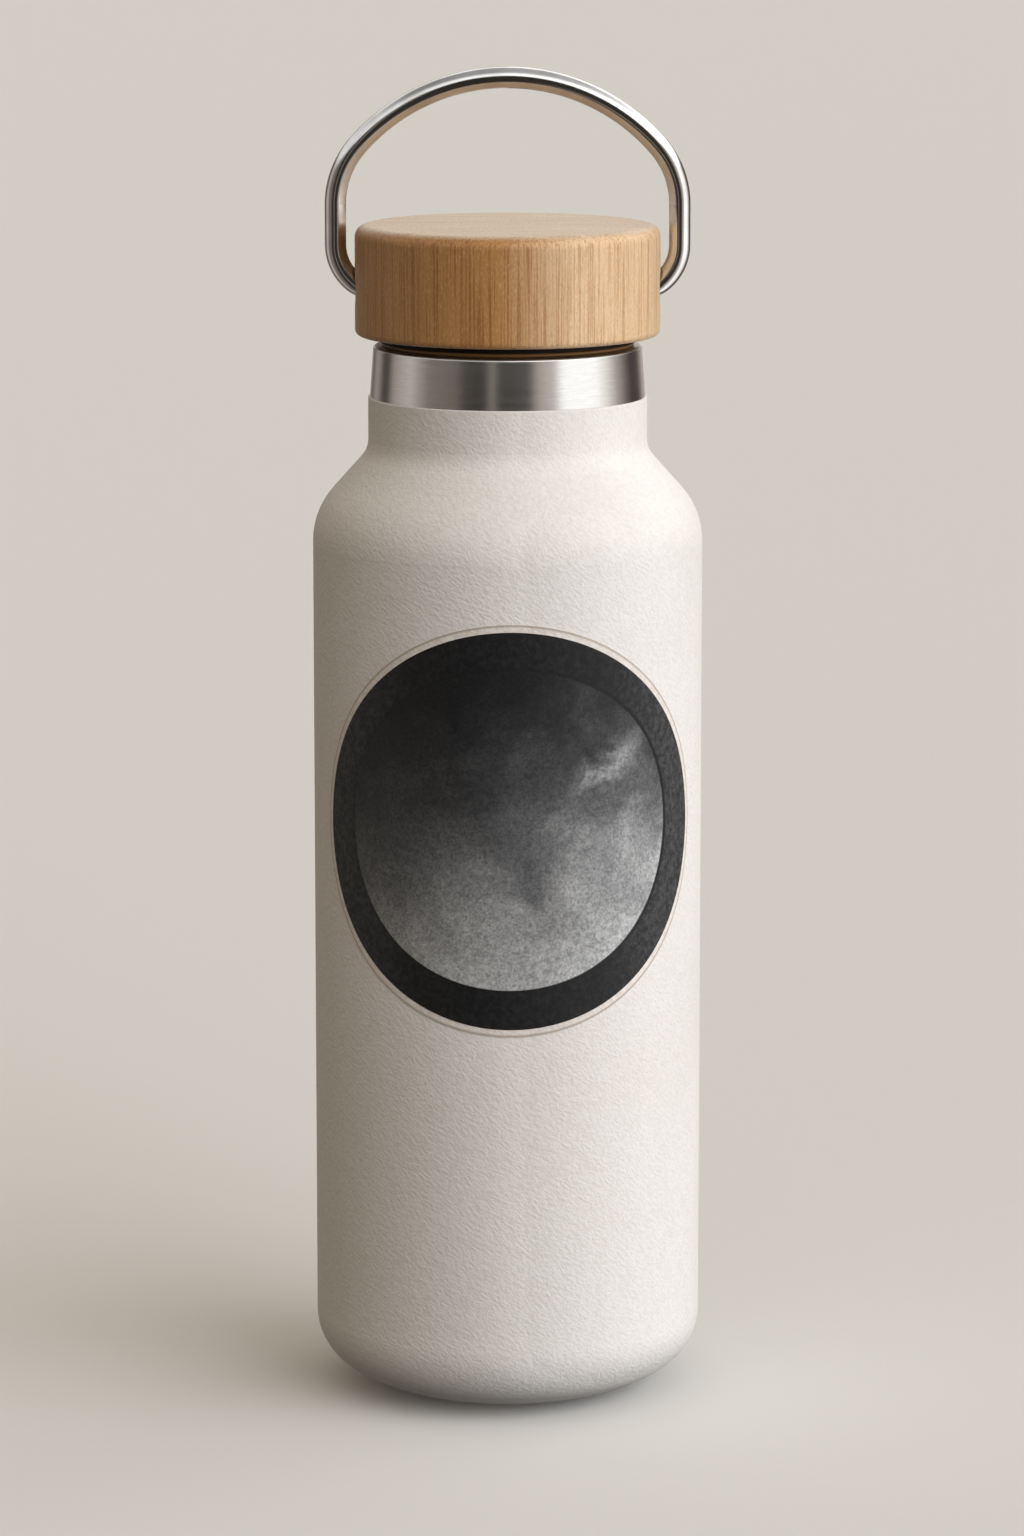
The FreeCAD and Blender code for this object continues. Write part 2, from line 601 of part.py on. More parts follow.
def lid_gasket():
    """Silicone ring on the bottle's lip, with a rounded outer edge."""
    inner_r = PLUG_CORE_R + GASKET_CLEARANCE
    bottom_z = LIP_Z + GASKET_PLAY
    top_z = FLANGE_BOTTOM_Z - GASKET_CLEARANCE
    edge_r = (top_z - bottom_z) / 2
    edge_centre = radial(GASKET_R - edge_r, bottom_z + edge_r)
    outline = Outline(radial(inner_r, bottom_z))
    outline.line(radial(edge_centre.x, bottom_z))
    outline.arc(edge_centre, radial(GASKET_R, edge_centre.z))
    outline.arc(edge_centre, radial(edge_centre.x, top_z))
    outline.line(radial(inner_r, top_z))
    return outline.turned()


def lid_screws():
    """Pan-head screws with a cross recess, seen from inside the plug."""
    head_z = BOSS_BOTTOM_Z - SCREW_HEAD_H
    outline = Outline(radial(0, head_z))
    outline.lines([radial(SCREW_HEAD_R - SCREW_SLOT_DEPTH, head_z),
                   radial(SCREW_HEAD_R, head_z + SCREW_SLOT_DEPTH),
                   radial(SCREW_HEAD_R, BOSS_BOTTOM_Z - BOND_GAP),
                   radial(SCREW_SHANK_R, BOSS_BOTTOM_Z - BOND_GAP),
                   radial(SCREW_SHANK_R, SCREW_TIP_Z - SCREW_TIP_H),
                   radial(0, SCREW_TIP_Z)])
    screw = outline.turned()
    for length, width in ((SCREW_HEAD_R, SCREW_SLOT_W), (SCREW_SLOT_W, SCREW_HEAD_R)):
        corner = FreeCAD.Vector(-length / 2, -width / 2, head_z)
        slot = Part.makeBox(length, width, SCREW_SLOT_DEPTH, corner)
        screw = screw.cut(slot)
    screws = []
    for place in screw_places():
        placed = screw.copy()
        placed.translate(place)
        screws.append(placed)
    return Part.makeCompound(screws)


def export(node, shape):
    """Write one piece, and report its solids, validity and volume."""
    print(node, len(shape.Solids), shape.isValid(), round(shape.Volume, 1))
    shape.exportStep("parts/" + node + ".step")


PIECES = {
    "outer_shell": outer_shell(),
    "outer_base": outer_base(),
    "base_cover": base_cover(),
    "textured_coating": textured_coating(),
    "inner_vessel": inner_vessel(),
    "inner_bottom": inner_bottom(),
    "heat_shield_foil": heat_shield_foil(),
    "getter_pellet": getter_pellet(),
    "getter_clip": getter_clip(),
    "vacuum_seal_bead": vacuum_seal_bead(),
    "label_vinyl": label_vinyl(),
    "label_print": label_print(),
    "bamboo_cap": bamboo_cap(),
    "lid_plug": lid_plug(),
    "plug_insulation": plug_insulation(),
    "plug_bottom_disc": plug_bottom_disc(),
    "disc_seal": disc_seal(),
    "lid_gasket": lid_gasket(),
    "pivot_bush_left": pivot_bush(-1),
    "pivot_bush_right": pivot_bush(1),
    "lid_screws": lid_screws(),
    "bail_handle": bail_handle(),
}

os.makedirs("parts", exist_ok=True)
for name, piece in PIECES.items():
    export(name, piece)
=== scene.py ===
import math

import bpy
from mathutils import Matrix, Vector


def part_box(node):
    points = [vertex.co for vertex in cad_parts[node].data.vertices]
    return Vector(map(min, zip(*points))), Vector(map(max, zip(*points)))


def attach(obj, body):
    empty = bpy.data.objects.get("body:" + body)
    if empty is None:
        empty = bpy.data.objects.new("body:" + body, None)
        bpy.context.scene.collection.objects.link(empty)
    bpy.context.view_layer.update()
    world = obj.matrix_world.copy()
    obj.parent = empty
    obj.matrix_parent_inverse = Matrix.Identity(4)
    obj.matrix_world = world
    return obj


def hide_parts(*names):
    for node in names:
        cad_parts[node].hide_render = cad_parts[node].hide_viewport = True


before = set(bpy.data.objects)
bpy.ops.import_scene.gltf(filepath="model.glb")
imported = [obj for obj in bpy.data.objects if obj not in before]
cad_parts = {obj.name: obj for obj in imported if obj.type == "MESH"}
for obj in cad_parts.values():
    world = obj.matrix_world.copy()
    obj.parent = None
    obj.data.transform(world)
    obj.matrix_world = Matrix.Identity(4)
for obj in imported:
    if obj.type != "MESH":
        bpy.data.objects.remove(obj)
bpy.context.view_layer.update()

# The canteen stands on the plane z = 0 with its label towards -Y. Blender works in metres.
MM = 0.001
CAP_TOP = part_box("bamboo_cap")[1].z

# The bottle's outside, as in the CAD model, in millimetres
BODY_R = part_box("textured_coating")[1].x / MM
COAT_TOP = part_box("textured_coating")[1].z / MM
SHOULDER_Z, SHOULDER_ROUND, SHOULDER_SLOPE = 162.2, 14.6, 41.6
NECK_R, NECK_Z, NECK_ROUND = 26.06, 181.4, 5.05
SHELL_OFFSET, STEEL_THICK = 0.35, 0.45
LIP_R, LIP_ROUND = 25.1, 0.7
TURN_STEPS, SHARP_EDGE = 240, math.radians(35)

# The label, in millimetres along the barrel's arc from the front and above the ground
PRINT_LOW, PRINT_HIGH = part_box("label_print")
LABEL_CENTRE = (0.65, (PRINT_LOW.z + PRINT_HIGH.z) / 2 / MM)
PRINT_HALF = (40.55, (PRINT_HIGH.z - PRINT_LOW.z) / 2 / MM)
LABEL_LEAN = 0.027       # share by which the label is narrower at its top
LABEL_DRAW = 0.021       # share by which it is flatter between its four ends
BORDER = 1.4             # cream film that shows round the print
DISC_CENTRE, DISC_HALF = (0.4, LABEL_CENTRE[1] + 0.2), (32.7, 29.9)
WISP_CENTRE, WISP_HALF, WISP_TILT = (19.0, LABEL_CENTRE[1] + 11.5), (12.0, 5.5), math.radians(32)
GLOW_CENTRE, GLOW_HALF = (20.0, LABEL_CENTRE[1] - 10.0), (15.0, 14.0)

# The room: strength of its light, strength of what the metal mirrors, its colour to the eye
AMBIENT, MIRRORED, BACKDROP = 0.62, 1.55, (211, 208, 201)
# Brightness of the walls that the metal mirrors, by compass angle: 0 in front, 90 at the right
WALLS = ((-180, 0.05), (-172, 0.20), (-166, 0.24), (-159, 0.06), (-146, 0.24), (-138, 0.20),
         (-130, 0.05), (-121, 0.05), (-112, 0.27), (-90, 0.42), (-82, 0.30), (-70, 0.16),
         (-45, 0.12), (-36, 0.04), (-20, 0.02), (-16, 0.09), (-13, 0.22), (-10, 0.09),
         (-5, 0.02), (18, 0.03), (27, 0.32), (40, 0.42), (47, 0.98), (80, 1.0), (92, 0.72),
         (105, 0.34), (119, 0.12), (128, 0.04), (143, 0.06), (157, 0.30), (168, 0.36), (180, 0.42))


# ---------------------------------------------------------------- node helpers

class Nodes:
    """A node tree, with short ways to make and join its nodes."""

    def __init__(self, tree, coordinates):
        self.tree = tree
        self.coordinates = self.node("ShaderNodeTexCoord").outputs[coordinates]

    def node(self, kind, **settings):
        made = self.tree.nodes.new(kind)
        for key, value in settings.items():
            setattr(made, key, value)
        return made

    def feed(self, socket, value):
        """Link an output to a socket, or set the socket's constant."""
        if isinstance(value, bpy.types.NodeSocket):
            self.tree.links.new(value, socket)
        else:
            socket.default_value = value

    def math(self, operation, first, second=0.0, third=0.0):
        made = self.node("ShaderNodeMath", operation=operation)
        for socket, value in zip(made.inputs, (first, second, third)):
            self.feed(socket, value)
        return made.outputs[0]

    def total(self, *terms):
        result = terms[0]
        for term in terms[1:]:
            result = self.math("ADD", result, term)
        return result

    def times(self, first, second):
        return self.math("MULTIPLY", first, second)

    def xyz(self, vector=None):
        made = self.node("ShaderNodeSeparateXYZ")
        self.feed(made.inputs[0], vector or self.coordinates)
        return made.outputs[0], made.outputs[1], made.outputs[2]

    def vector(self, x, y, z):
        made = self.node("ShaderNodeCombineXYZ")
        for socket, value in zip(made.inputs, (x, y, z)):
            self.feed(socket, value)
        return made.outputs[0]

    def scaled(self, x, y, z, vector=None):
        made = self.node("ShaderNodeVectorMath", operation="MULTIPLY")
        self.feed(made.inputs[0], vector or self.coordinates)
        made.inputs[1].default_value = (x, y, z)
        return made.outputs[0]

    def moved(self, vector, offset, amount):
        """A vector pushed by a colour's difference from mid-grey."""
        centred = self.node("ShaderNodeVectorMath", operation="SUBTRACT")
        self.feed(centred.inputs[0], offset)
        centred.inputs[1].default_value = (0.5, 0.5, 0.5)
        made = self.node("ShaderNodeVectorMath", operation="MULTIPLY_ADD")
        self.feed(made.inputs[0], centred.outputs[0])
        made.inputs[1].default_value = (amount, amount, amount)
        self.feed(made.inputs[2], vector)
        return made.outputs[0]

    def turned(self, vector, angle):
        """A vector turned about the Z axis."""
        made = self.node("ShaderNodeVectorRotate", rotation_type="Z_AXIS")
        self.feed(made.inputs["Vector"], vector)
        self.feed(made.inputs["Angle"], angle)
        return made.outputs[0]

    def noise(self, scale, detail=2.0, rough=0.5, distortion=0.0, vector=None, colour=False):
        made = self.node("ShaderNodeTexNoise")
        self.feed(made.inputs["Vector"], vector or self.coordinates)
        for key, value in (("Scale", scale), ("Detail", detail),
                           ("Roughness", rough), ("Distortion", distortion)):
            made.inputs[key].default_value = value
        return made.outputs["Color" if colour else "Fac"]

    def cells(self, scale, smooth, vector=None):
        """Distance from the middle of soft-edged cells."""
        made = self.node("ShaderNodeTexVoronoi", feature="SMOOTH_F1")
        self.feed(made.inputs["Vector"], vector or self.coordinates)
        made.inputs["Scale"].default_value = scale
        made.inputs["Smoothness"].default_value = smooth
        return made.outputs["Distance"]

    def band(self, value, low, high, to_low=0.0, to_high=1.0):
        """Map low..high smoothly to to_low..to_high."""
        made = self.node("ShaderNodeMapRange", interpolation_type="SMOOTHSTEP")
        for key, number in (("Value", value), ("From Min", low), ("From Max", high),
                            ("To Min", to_low), ("To Max", to_high)):
            self.feed(made.inputs[key], number)
        return made.outputs["Result"]

    def ramp(self, value, *stops):
        """A colour ramp from (place, grey or colour) stops."""
        made = self.node("ShaderNodeValToRGB")
        self.feed(made.inputs[0], value)
        ramp_stops = made.color_ramp.elements
        while len(ramp_stops) < len(stops):
            ramp_stops.new(1.0)
        for element, (place, colour) in zip(ramp_stops, stops):
            element.position = place
            element.color = shade(colour)
        return made.outputs[0]

    def mix(self, factor, first, second, blend="MIX"):
        made = self.node("ShaderNodeMix", data_type="RGBA", blend_type=blend)
        self.feed(made.inputs["Factor"], factor)
        for socket, value in ((made.inputs[6], first), (made.inputs[7], second)):
            self.feed(socket, value if isinstance(value, bpy.types.NodeSocket) else shade(value))
        return made.outputs[2]

    def times_colour(self, colour, factor):
        made = self.node("ShaderNodeVectorMath", operation="SCALE")
        self.feed(made.inputs[0], colour)
        made.inputs["Scale"].default_value = factor
        return made.outputs[0]

    def bump(self, height, distance, strength):
        made = self.node("ShaderNodeBump")
        made.inputs["Strength"].default_value = strength
        made.inputs["Distance"].default_value = distance
        self.feed(made.inputs["Height"], height)
        return made.outputs[0]


class Shader(Nodes):
    """A material made of one Principled shader."""

    def __init__(self, name):
        self.material = bpy.data.materials.new(name)
        self.material.use_nodes = True
        super().__init__(self.material.node_tree, "Object")

    def set(self, **values):
        """Constants or links on the Principled shader, with _ for a space in each name."""
        surface = self.tree.nodes["Principled BSDF"]
        for key, value in values.items():
            self.feed(surface.inputs[key.replace("_", " ")], value)


def shade(colour):
    """A linear RGBA colour from a grey or from three display values of 0 to 255."""
    if isinstance(colour, (int, float)):
        return (colour, colour, colour, 1.0)
    shown = [channel / 255 for channel in colour]
    linear = [c / 12.92 if c <= 0.04045 else ((c + 0.055) / 1.055) ** 2.4 for c in shown]
    return (*linear, 1.0)


def darker(colour, share):
    """A colour with this share of each display value."""
    return tuple(channel * share for channel in colour)


def wear(material, *nodes):
    """Give CAD nodes a material."""
    for name in nodes:
        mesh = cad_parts[name].data
        mesh.materials.clear()
        mesh.materials.append(material)


# ---------------------------------------------------------------- turned pieces

def arc(centre, radius, first, last, steps=12):
    """Points on a circle from one angle to another, in degrees from outwards towards up."""
    angles = [math.radians(first + (last - first) * step / steps) for step in range(steps + 1)]
    return [(centre[0] + radius * math.cos(a), centre[1] + radius * math.sin(a)) for a in angles]


def shoulder(offset):
    """The shoulder's outline from the barrel up to the neck, moved inwards by offset."""
    return (arc((BODY_R - SHOULDER_ROUND, SHOULDER_Z), SHOULDER_ROUND - offset, 0, SHOULDER_SLOPE, 24)
            + arc((NECK_R + NECK_ROUND, NECK_Z), NECK_ROUND + offset, 180 + SHOULDER_SLOPE, 180))


def bore(node):
    """Radius of the hole through a round CAD node, in millimetres."""
    return min(math.hypot(v.co.x, v.co.y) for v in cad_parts[node].data.vertices) / MM


def lathe(name, outline, material, body, node):
    """A piece turned about the Z axis from its closed outline, which is in millimetres."""
    rings = []
    for step in range(TURN_STEPS):
        angle = math.tau * step / TURN_STEPS
        across, deep = math.sin(angle) * MM, -math.cos(angle) * MM
        rings += [(r * across, r * deep, z * MM) for r, z in outline]
    count = len(outline)
    faces = []
    for step in range(TURN_STEPS):
        here, there = step * count, (step + 1) % TURN_STEPS * count
        for k in range(count):
            after = (k + 1) % count
            faces.append((here + k, there + k, there + after, here + after))
    mesh = bpy.data.meshes.new(name)
    mesh.from_pydata(rings, [], faces)
    mesh.materials.append(material)
    mesh.shade_smooth()
    mesh.set_sharp_from_angle(angle=SHARP_EDGE)
    piece = bpy.data.objects.new(name, mesh)
    bpy.context.scene.collection.objects.link(piece)
    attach(piece, body)
    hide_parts(node)


def drawn_shell(material):
    """Outer steel tube with its tapered collar and the lip rolled inwards on top."""
    low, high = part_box("outer_shell")
    bottom, top = low.z / MM, high.z / MM
    seam_r = bore("outer_shell")
    lip = (LIP_R - LIP_ROUND, top - LIP_ROUND)
    outer, inner = SHELL_OFFSET, SHELL_OFFSET + STEEL_THICK
    outside = [(BODY_R - outer, bottom), *shoulder(outer), (NECK_R - outer, COAT_TOP),
               *arc(lip, LIP_ROUND, 0, 90, 16), (seam_r, top)]
    inside = [(BODY_R - inner, bottom), *shoulder(inner), (NECK_R - inner, COAT_TOP),
              *arc(lip, LIP_ROUND - STEEL_THICK, 0, 90, 8), (seam_r, top - STEEL_THICK)]
    lathe("drawn_shell", outside + inside[::-1], material, "bottle", "outer_shell")


def rubber_ring(material):
    """Gasket with a rounded outer edge."""
    low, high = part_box("lid_gasket")
    bottom, top, outer = low.z / MM, high.z / MM, high.x / MM
    inner = bore("lid_gasket")
    edge = (top - bottom) / 2
    outline = arc((outer - edge, bottom + edge), edge, -90, 90, 16) + [(inner, top), (inner, bottom)]
    lathe("rubber_ring", outline, material, "seal", "lid_gasket")


# ------------------------------------------------------------------- materials

PIT_HEIGHTS = (0.70, 1.20)       # wrinkle heights between which the painted shade in the pits thins out


def wrinkle_height(shader):
    """The powder coat's leathery wrinkles: soft ridges under a millimetre apart that lean over."""
    z = shader.xyz()[2]
    leaning = shader.turned(shader.coordinates, shader.times(z, 19.0))
    push = shader.noise(480, 2.0, 0.5, colour=True)
    bent = shader.moved(shader.scaled(1, 1, 1.1, leaning), push, 0.7 * MM)
    ridges = shader.noise(1250, 1.0, 0.5, 0.3, vector=bent)
    grain = shader.noise(2000, 2.0, 0.5)
    broad = shader.noise(380, 1.0, 0.5)
    return shader.total(ridges, shader.times(grain, 0.6), shader.times(broad, 0.35))


def powder_coat():
    """Warm white coat, darker in its pits with painted shade."""
    shader = Shader("warm_white_powder_coat")
    height = wrinkle_height(shader)
    cloud = shader.noise(22, 3.0, 0.5)
    base = shader.mix(shader.band(cloud, 0.35, 0.65), (232, 227, 222), (235, 231, 227))
    # Painted shade: the coat is darker down in the wrinkles' pits
    above_pits = shader.band(height, *PIT_HEIGHTS)
    colour = shader.mix(above_pits, shader.mix(0.16, base, (186, 172, 158)), base)
    shader.set(Base_Color=colour,
               Roughness=shader.band(cloud, 0.3, 0.7, 0.50, 0.56),
               Specular_IOR_Level=0.42,
               Normal=shader.bump(height, 0.13 * MM, 0.8))
    return shader.material


def arc_and_height(shader):
    """Millimetres along the barrel's arc from the front, and millimetres above the ground."""
    x, y, z = shader.xyz()
    angle = shader.math("ARCTAN2", x, shader.times(y, -1.0))
    return shader.times(angle, BODY_R), shader.times(z, 1 / MM)


def oval(shader, across, up, centre, half_width, half_height):
    """Distance from an oval's centre, 1 on its outline."""
    x = shader.times(shader.math("SUBTRACT", across, centre[0]), 1 / half_width)
    z = shader.times(shader.math("SUBTRACT", up, centre[1]), 1 / half_height)
    return shader.math("SQRT", shader.total(shader.times(x, x), shader.times(z, z)))


def label_edge(shader, across, up, border):
    """Distance from the label's centre, 1 on the print's outline moved outwards by border."""
    u = shader.times(shader.math("SUBTRACT", across, LABEL_CENTRE[0]), 1 / (PRINT_HALF[0] + border))
    v = shader.times(shader.math("SUBTRACT", up, LABEL_CENTRE[1]), 1 / (PRINT_HALF[1] + border))
    u = shader.math("DIVIDE", u, shader.math("MULTIPLY_ADD", v, -LABEL_LEAN, 1.0))
    square = shader.total(shader.times(u, u), shader.times(v, v))
    slant = shader.math("DIVIDE", shader.times(shader.times(u, v), 2.0), square)
    drawn = shader.math("MULTIPLY_ADD", shader.times(slant, slant), -LABEL_DRAW, 1.0)
    return shader.math("DIVIDE", shader.math("SQRT", square), drawn)


def label_film():
    """Cream film with a painted shadow line along its cut edge and painted shade in its pits."""
    shader = Shader("cream_label_film")
    across, up = arc_and_height(shader)
    edge = label_edge(shader, across, up, BORDER)
    height = wrinkle_height(shader)
    speck = shader.noise(900, 2.0, 0.5)
    paper = shader.mix(shader.band(speck, 0.35, 0.7), (237, 230, 223), (226, 218, 211))
    # Painted shade: the film is darker down in the wrinkles' pits
    above_pits = shader.band(height, *PIT_HEIGHTS)
    paper = shader.mix(above_pits, shader.mix(0.2, paper, (170, 154, 138)), paper)
    # Painted shadow line along the film's cut edge
    line = shader.band(edge, 0.984, 0.995)
    colour = shader.mix(line, paper, (184, 172, 158))
    shader.set(Base_Color=colour, Roughness=0.5, Specular_IOR_Level=0.4,
               Normal=shader.bump(height, 0.10 * MM, 0.7))
    return shader.material


def label_ink():
    """Charcoal ring round a smoky grey disc."""
    shader = Shader("smoky_label_print")
    across, up = arc_and_height(shader)
    disc = oval(shader, across, up, DISC_CENTRE, *DISC_HALF)
    u = shader.times(shader.math("SUBTRACT", across, DISC_CENTRE[0]), 1 / DISC_HALF[0])
    v = shader.times(shader.math("SUBTRACT", up, DISC_CENTRE[1]), 1 / DISC_HALF[1])

    grain = shader.noise(2100, 2.0, 0.6)
    felt = shader.noise(900, 3.0, 0.6, 0.4)
    speckle = shader.total(shader.times(grain, 0.55), shader.times(felt, 0.45))

    cloud_push = shader.noise(60, 2.0, 0.5, colour=True)
    bent = shader.moved(shader.coordinates, cloud_push, 9 * MM)
    cloud = shader.noise(58, 6.0, 0.6, 0.0, vector=bent)
    wisp = shader.noise(105, 5.0, 0.6, 0.6, vector=bent)

    # The sky is darkest upper left, lightest lower right, with more cloud at the right
    lean = shader.total(shader.times(u, 0.22), shader.times(v, -0.66))
    billow = shader.times(shader.math("SUBTRACT", cloud, 0.5), shader.band(u, -0.8, 0.7, 0.6, 1.5))
    place = shader.math("MULTIPLY_ADD", shader.total(lean, billow), 0.625, 0.47)
    tone = shader.ramp(place,
                       (0.08, (22, 22, 23)), (0.23, (38, 38, 39)), (0.34, (62, 62, 63)),
                       (0.55, (99, 99, 100)), (0.675, (134, 134, 134)), (0.80, (163, 163, 163)),
                       (0.95, (190, 190, 190)))
    # A torn wisp of light that climbs to the upper right
    right = shader.math("SUBTRACT", across, WISP_CENTRE[0])
    above = shader.math("SUBTRACT", up, WISP_CENTRE[1])
    cosine, sine = math.cos(WISP_TILT), math.sin(WISP_TILT)
    along = shader.total(shader.times(right, cosine), shader.times(above, sine))
    beside = shader.total(shader.times(above, cosine), shader.times(right, -sine))
    wisp_place = oval(shader, along, beside, (0.0, 0.0), *WISP_HALF)
    wisp_light = shader.times(shader.band(wisp_place, 1.0, 0.1), shader.band(wisp, 0.38, 0.62))
    tone = shader.mix(shader.times(wisp_light, 0.75), tone, (176, 176, 177))
    # A broad pale cloud at the lower right
    glow_place = oval(shader, across, up, GLOW_CENTRE, *GLOW_HALF)
    glow = shader.times(shader.band(glow_place, 1.0, 0.0), shader.band(wisp, 0.30, 0.60, 0.3, 1.0))
    tone = shader.mix(shader.times(glow, 0.45), tone, (186, 186, 186))

    # Painted sheen: the ring is paler at its sides, where the label turns away from view, most at the
    # lit right
    most = shader.band(u, -1.0, 1.0, 0.70, 1.0)
    sides = shader.band(shader.math("ABSOLUTE", u), 0.5, 1.1, 0.0, most)
    ring = shader.mix(sides, (27, 27, 28), (66, 66, 67))
    ring = shader.mix(shader.band(felt, 0.35, 0.66), shader.mix(0.5, ring, 0.0), ring)
    inside = shader.band(disc, 1.0, 0.993)
    colour = shader.mix(inside, ring, tone)
    # A thin dark line parts it from the disc, strongest at the upper right
    line = shader.times(shader.band(disc, 0.990, 1.0), shader.band(disc, 1.022, 1.012))
    line_strength = shader.band(shader.total(u, v), -0.9, 0.9, 0.35, 1.0)
    colour = shader.mix(shader.times(line, line_strength), colour, (18, 18, 19))
    colour = shader.mix(0.70, colour,
                        shader.ramp(shader.band(speckle, 0.25, 0.75),
                                    (0.0, 0.16), (0.5, 0.5), (1.0, 0.86)), blend="OVERLAY")
    height = wrinkle_height(shader)
    shader.set(Base_Color=colour, Roughness=0.6, Specular_IOR_Level=0.3,
               Normal=shader.bump(height, 0.07 * MM, 0.45))
    return shader.material


def bamboo():
    """Bamboo with its fibres upright: fine lines down the side, dots on the end grain."""
    shader = Shader("turned_bamboo")
    x, _, z = shader.xyz()
    sway = shader.noise(45, 1.0, 0.5, vector=shader.scaled(1, 1, 0.5), colour=True)
    swayed = shader.moved(shader.coordinates, sway, 0.5 * MM)
    upright = shader.scaled(1, 1, 0.010, swayed)
    fibre = shader.noise(3800, 3.0, 0.65, vector=shader.scaled(1, 1, 0.10, swayed))
    lines = shader.noise(2600, 2.0, 0.6, vector=upright)
    dark = shader.noise(760, 2.0, 0.5, vector=upright)
    broken = shader.noise(260, 2.0, 0.5, vector=shader.scaled(1, 1, 0.35, swayed))
    strip = shader.noise(130, 2.0, 0.5, vector=shader.scaled(1, 0.6, 0.01))
    # End grain at the top: real dots and fading streaks, and a paler, less saturated colour that is
    # partly painted sheen and light from above
    end_grain_and_top_sheen = shader.band(z, CAP_TOP - 0.9 * MM, CAP_TOP - 0.1 * MM)

    # Painted highlight: the cap's colour turns paler and less saturated towards its lit right side
    painted_highlight_right = shader.band(shader.total(x, shader.times(strip, 6 * MM)), 0.0, 16 * MM)
    side = shader.mix(painted_highlight_right, (189, 138, 82), (227, 195, 155))
    side = shader.mix(shader.times(shader.band(strip, 0.35, 0.65), 0.12), side, (176, 124, 74))
    # The top's colour: bamboo end grain, made paler in part as painted sheen
    figure = shader.noise(420, 3.0, 0.55, vector=shader.scaled(0.08, 1, 0.3))
    end = shader.mix(shader.band(figure, 0.35, 0.65), (208, 180, 150), (230, 208, 182))
    pale = shader.mix(end_grain_and_top_sheen, side, end)
    # The fibres are paler at the right too, with the same painted highlight
    body = shader.mix(shader.times(shader.band(fibre, 0.40, 0.66), 0.38), pale,
                      shader.mix(painted_highlight_right, (163, 112, 62), (196, 152, 106)))
    fine = shader.times(shader.band(lines, 0.49, 0.61), shader.band(broken, 0.30, 0.60, 0.40, 0.70))
    lone = shader.times(shader.band(dark, 0.65, 0.71), shader.band(broken, 0.36, 0.56))
    streak = shader.math("MAXIMUM", fine, shader.times(lone, 0.70))
    streak = shader.times(streak, shader.band(end_grain_and_top_sheen, 0.0, 1.0, 1.0, 0.30))
    # The streaks are paler at the right too, with the same painted highlight
    colour = shader.mix(streak, body, shader.mix(painted_highlight_right, (142, 88, 42), (178, 128, 78)))
    pores = shader.noise(4600, 2.0, 0.6, vector=shader.scaled(1, 1, 0.30))
    colour = shader.mix(shader.times(shader.band(pores, 0.50, 0.68), 0.22), colour, (128, 84, 46))
    colour = shader.mix(shader.times(shader.band(pores, 0.46, 0.32), 0.18), colour, (240, 212, 172))
    dots = shader.band(shader.cells(1500, 0.3, vector=shader.scaled(1, 1, 0.2)), 0.42, 0.24)
    colour = shader.mix(shader.times(dots, shader.times(end_grain_and_top_sheen, 0.55)), colour, (150, 106, 70))
    height = shader.total(shader.times(fibre, 0.5), shader.times(streak, -0.5))
    shader.set(Base_Color=colour,
               Roughness=shader.band(fibre, 0.3, 0.7, 0.34, 0.46),
               Specular_IOR_Level=0.5, Sheen_Weight=0.26, Sheen_Roughness=0.32,
               Sheen_Tint=shade((255, 246, 232)),
               Normal=shader.bump(height, 0.05 * MM, 0.5))
    return shader.material


def brushed_steel(name, tint, rough, anisotropic, line_bump):
    """Steel polished on a lathe: fine lines, line_bump millimetres deep, that run round the
    Z axis."""
    shader = Shader(name)
    x, y, z = shader.xyz()
    radius = shader.math("SQRT", shader.total(shader.times(x, x), shader.times(y, y)))
    along = shader.vector(radius, shader.times(x, 0.02), z)
    around = shader.vector(shader.times(x, 0.03), shader.times(y, 0.03),
                           shader.total(z, radius))
    lines = shader.noise(9000, 2.0, 0.6, vector=around)
    broad = shader.noise(1600, 2.0, 0.5, vector=around)
    stain = shader.noise(45, 3.0, 0.5, vector=along)
    tone = shader.mix(shader.band(lines, 0.3, 0.7), tint, darker(tint, 0.96))
    tone = shader.mix(shader.times(shader.band(stain, 0.45, 0.7), 0.12), tone, darker(tint, 0.86))
    speckle = shader.noise(4200, 2.0, 0.6)
    tone = shader.mix(shader.times(shader.band(speckle, 0.4, 0.7), 0.18), tone, darker(tint, 0.82))
    height = shader.total(lines, shader.times(broad, 0.3))
    tangent = shader.node("ShaderNodeTangent", direction_type="RADIAL", axis="Z").outputs[0]
    shader.set(Base_Color=tone, Metallic=1.0,
               Roughness=shader.band(broad, 0.3, 0.7, rough - 0.012, rough + 0.015),
               Anisotropic=anisotropic, Anisotropic_Rotation=0.25, Tangent=tangent,
               Normal=shader.bump(height, line_bump * MM, 0.5))
    return shader.material


def polished_rod():
    """Drawn steel rod, polished, with faint lengthwise draw marks and handling haze."""
    shader = Shader("polished_bail_steel")
    haze = shader.noise(170, 3.0, 0.55)
    drawn = shader.noise(2400, 2.0, 0.6, vector=shader.scaled(0.02, 1, 0.02))
    marks = shader.total(drawn, shader.times(shader.noise(2600, 2.0, 0.6), 0.5))
    tone = shader.mix(shader.band(haze, 0.35, 0.7), (218, 217, 216), (202, 200, 198))
    tone = shader.mix(shader.times(shader.band(drawn, 0.45, 0.65), 0.2), tone, (168, 165, 162))
    shader.set(Base_Color=tone, Metallic=1.0,
               Roughness=shader.band(haze, 0.3, 0.7, 0.11, 0.17),
               Normal=shader.bump(marks, 0.004 * MM, 0.35))
    return shader.material


